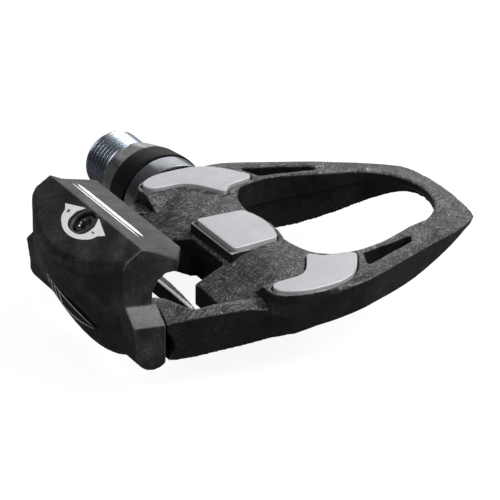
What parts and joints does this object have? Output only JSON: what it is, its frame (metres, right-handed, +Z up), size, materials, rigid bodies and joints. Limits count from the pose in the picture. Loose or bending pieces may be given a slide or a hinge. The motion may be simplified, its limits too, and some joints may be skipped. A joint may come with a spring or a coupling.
{
  "type": "clipless pedal",
  "caption": "Single-sided road pedal: triangular carbon platform on a threaded spindle, metal wear plates and a sprung rear claw.",
  "frame": {"origin": "on the spindle axis at the floor of the hex key socket, in the plane of the shoulder that seats on the crank", "axes": "+X forward towards the nose of the pedal, +Y along the spindle towards the crank, +Z up to the cleat side"},
  "size_m": [0.0954, 0.0965, 0.0319],
  "materials": {
    "axle_steel": "plated, bright, fine turned",
    "bearing_steel": "ground",
    "black_steel": "blackened",
    "carbon": "moulded chopped carbon fibre, satin with fine flecks",
    "matte_black": "matte",
    "gloss_black": "polished",
    "seal_rubber": "matte",
    "blasted_steel": "bead blasted with polished rim",
    "claw_plastic": "fine moulded grain",
    "badge_metal": "satin",
    "bush_plastic": "matte",
    "spring_steel": "drawn wire"
  },
  "bodies": {
    "spindle": {"spindle": "axle_steel", "cone": "bearing_steel", "cone_lock_nut": "black_steel"},
    "pedal_body": {"carbon_body": "carbon", "lock_collar": "matte_black", "dust_seal": "seal_rubber", "axle_sleeve": "gloss_black", "inboard_ball_row": "bearing_steel", "needle_bearing": "bearing_steel", "outboard_ball_row": "bearing_steel", "wear_plate_centre": "blasted_steel", "wear_plate_crank_side": "blasted_steel", "wear_plate_outer_side": "blasted_steel", "pivot_pin": "black_steel"},
    "rear_claw": {"claw": "claw_plastic", "tension_badge": "badge_metal", "pivot_bush_crank_side": "bush_plastic", "pivot_bush_outer_side": "bush_plastic", "torsion_spring_crank_side": "spring_steel", "torsion_spring_outer_side": "spring_steel"},
    "tension_bolt": {"tension_bolt": "black_steel"},
    "tension_nut": {"tension_nut": "black_steel"}
  },
  "joints": [
    {"name": "body_spin", "type": "hinge", "parent": "spindle", "child": "pedal_body", "pos_m": [0, 0, 0], "axis": [0, 1, 0], "continuous": true},
    {"name": "claw_open", "type": "hinge", "parent": "pedal_body", "child": "rear_claw", "pos_m": [-0.0365, -0.052, 0], "axis": [0, -1, 0], "range_deg": [0, 25], "stiffness_Nm_per_rad": 3, "springref_deg": -28.65},
    {"name": "tension_bolt_turn", "type": "hinge", "parent": "rear_claw", "child": "tension_bolt", "pos_m": [-0.03983, -0.052, 0.02016], "axis": [-0.515, 0, 0.8572], "range_deg": [0, 720]},
    {"name": "tension_nut_slide", "type": "slide", "parent": "rear_claw", "child": "tension_nut", "axis": [0.515, 0, -0.8572], "range_m": [0, 0.0014]}
  ],
  "couplings": [
    {"joint": "tension_bolt_turn", "follows": "tension_nut_slide", "rad_per_m": 8975.9}
  ]
}
